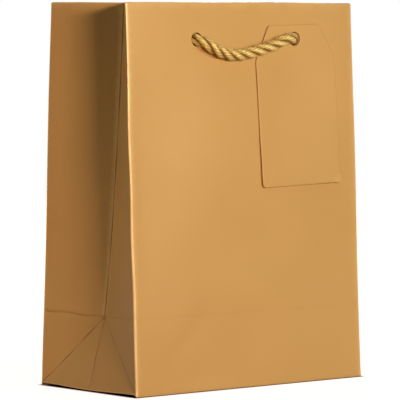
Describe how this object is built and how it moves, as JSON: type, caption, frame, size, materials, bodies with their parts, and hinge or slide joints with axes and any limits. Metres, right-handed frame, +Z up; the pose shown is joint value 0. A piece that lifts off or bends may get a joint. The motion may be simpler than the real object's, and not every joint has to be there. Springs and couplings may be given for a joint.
{
  "type": "gift bag",
  "caption": "Small gold paper gift bag with a block bottom, folding side gussets, twisted cord handles and a hanging gift tag.",
  "frame": {"origin": "middle of the base, on the surface the bag stands on", "axes": "+X to the right along the front panel, +Y from the front panel to the back panel, +Z up to the mouth"},
  "size_m": [0.14, 0.071, 0.1798],
  "materials": {
    "gold_paper": "satin gold laminated paper, white and uncoated on its inner side",
    "mouth_card": "uncoated grey board",
    "base_board": "uncoated grey board",
    "tag_card": "satin gold laminated card with a paler cut edge",
    "gold_cord": "three-strand twisted cord of shiny gold yarn"
  },
  "bodies": {
    "bag": {"front_panel": "gold_paper", "back_panel": "gold_paper", "left_gusset_upper_front": "gold_paper", "left_gusset_upper_back": "gold_paper", "left_gusset_corner_front": "gold_paper", "left_gusset_corner_back": "gold_paper", "left_gusset_base_triangle": "gold_paper", "right_gusset_upper_front": "gold_paper", "right_gusset_upper_back": "gold_paper", "right_gusset_corner_front": "gold_paper", "right_gusset_corner_back": "gold_paper", "right_gusset_base_triangle": "gold_paper", "front_turn_in": "gold_paper", "back_turn_in": "gold_paper", "left_gusset_turn_in": "gold_paper", "right_gusset_turn_in": "gold_paper", "side_seam_lap": "gold_paper", "front_base_flap": "gold_paper", "back_base_flap": "gold_paper", "left_dust_flap": "gold_paper", "right_dust_flap": "gold_paper", "front_mouth_card": "mouth_card", "back_mouth_card": "mouth_card", "base_board": "base_board", "front_handle_left_tail": "gold_cord", "front_handle_right_tail": "gold_cord", "front_handle_left_knot": "gold_cord", "front_handle_right_knot": "gold_cord", "back_handle_left_tail": "gold_cord", "back_handle_right_tail": "gold_cord", "back_handle_left_knot": "gold_cord", "back_handle_right_knot": "gold_cord"},
    "tag": {"gift_tag": "tag_card"},
    "front_handle": {"front_handle_loop": "gold_cord"},
    "back_handle": {"back_handle_loop": "gold_cord"}
  },
  "joints": [
    {"name": "front_handle_swing", "type": "hinge", "parent": "bag", "child": "front_handle", "pos_m": [0.0018, -0.03204, 0.1627], "axis": [-1, 0, 0], "range_deg": [0, 175]},
    {"name": "back_handle_swing", "type": "hinge", "parent": "bag", "child": "back_handle", "pos_m": [0.0018, 0.03204, 0.1627], "axis": [1, 0, 0], "range_deg": [0, 175]},
    {"name": "tag_swing", "type": "hinge", "parent": "bag", "child": "tag", "pos_m": [0.0318, -0.02855, 0.16255], "axis": [0, -0.9991, 0.0427], "range_deg": [-60, 60]}
  ]
}
